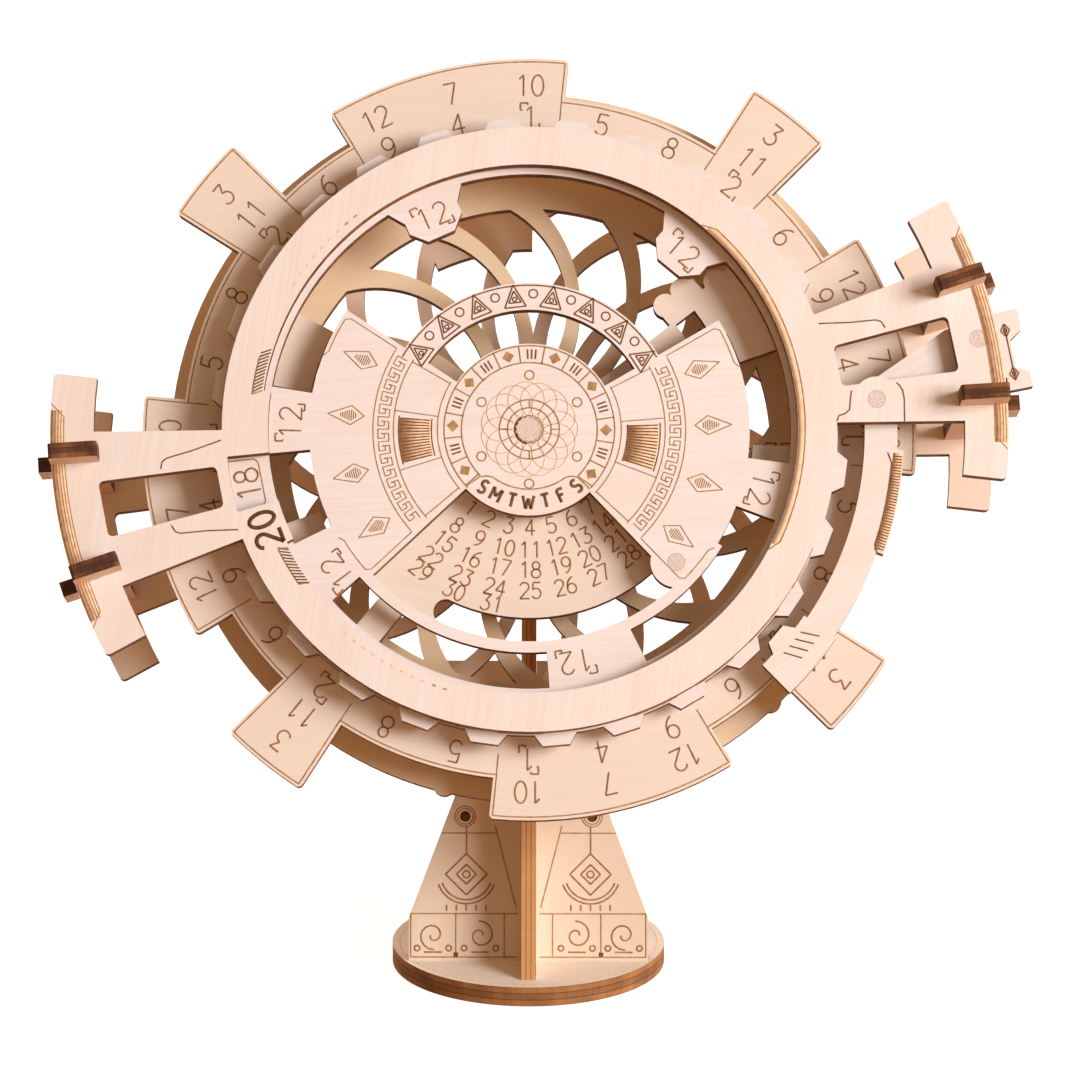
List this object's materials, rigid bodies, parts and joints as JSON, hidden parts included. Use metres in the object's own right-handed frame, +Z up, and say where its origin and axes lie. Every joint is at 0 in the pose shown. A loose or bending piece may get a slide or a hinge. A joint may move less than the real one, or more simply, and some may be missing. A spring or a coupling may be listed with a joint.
{
  "type": "perpetual desk calendar",
  "caption": "Perpetual desk calendar in laser-cut plywood: a dial that leans back on a small round-foot stand, with a month wheel and date table, a bracketed bezel and a year latch.",
  "frame": {"origin": "centre of the round foot, on the table", "axes": "+Z up, the dial faces -Y and leans back towards +Y, +X to the viewer's right"},
  "size_m": [0.1953, 0.0874, 0.1829],
  "materials": {
    "plywood": "bare basswood plywood, laser-cut edges burnt brown",
    "plywood_back": "bare basswood plywood, laser-cut edges burnt brown",
    "dowel": "bare turned dowel"
  },
  "bodies": {
    "stand": {"base_disc": "plywood", "stand_plate": "plywood", "stand_rib": "plywood", "hub_disc_front": "plywood", "hub_disc_rear": "plywood", "centre_dowel": "dowel", "year_plate": "plywood", "front_spacer": "plywood", "middle_spacer": "plywood", "rear_spacer": "plywood", "ear_dowel": "dowel", "ear_washer": "plywood"},
    "month_wheel": {"month_date_plate": "plywood", "month_back_wheel": "plywood_back", "month_sleeve": "plywood", "month_block_upper_right": "plywood", "month_block_lower_right": "plywood", "month_block_upper_left": "plywood", "month_block_lower_left": "plywood"},
    "frame": {"front_frame": "plywood", "rear_frame": "plywood_back", "frame_hub_ring": "plywood", "spacer_board_left_upper": "plywood_back", "spacer_board_left_lower": "plywood_back", "spacer_board_right_upper": "plywood_back", "spacer_board_right_lower": "plywood_back", "latch_pivot_dowel": "dowel", "latch_stop_dowel": "dowel", "latch_washer": "plywood"},
    "year_latch": {"year_latch": "plywood"}
  },
  "joints": [
    {"name": "month_wheel_turn", "type": "hinge", "parent": "stand", "child": "month_wheel", "pos_m": [0, -0.01017, 0.11292], "axis": [0, -0.91, 0.4147], "range_deg": [-77.14, 73]},
    {"name": "frame_turn", "type": "hinge", "parent": "stand", "child": "frame", "pos_m": [0, 0.01476, 0.10156], "axis": [0, -0.91, 0.4147], "continuous": true},
    {"name": "latch_swing", "type": "hinge", "parent": "frame", "child": "year_latch", "pos_m": [0.06778, -0.01334, 0.12043], "axis": [0, -0.91, 0.4147], "range_deg": [-2, 4]}
  ]
}
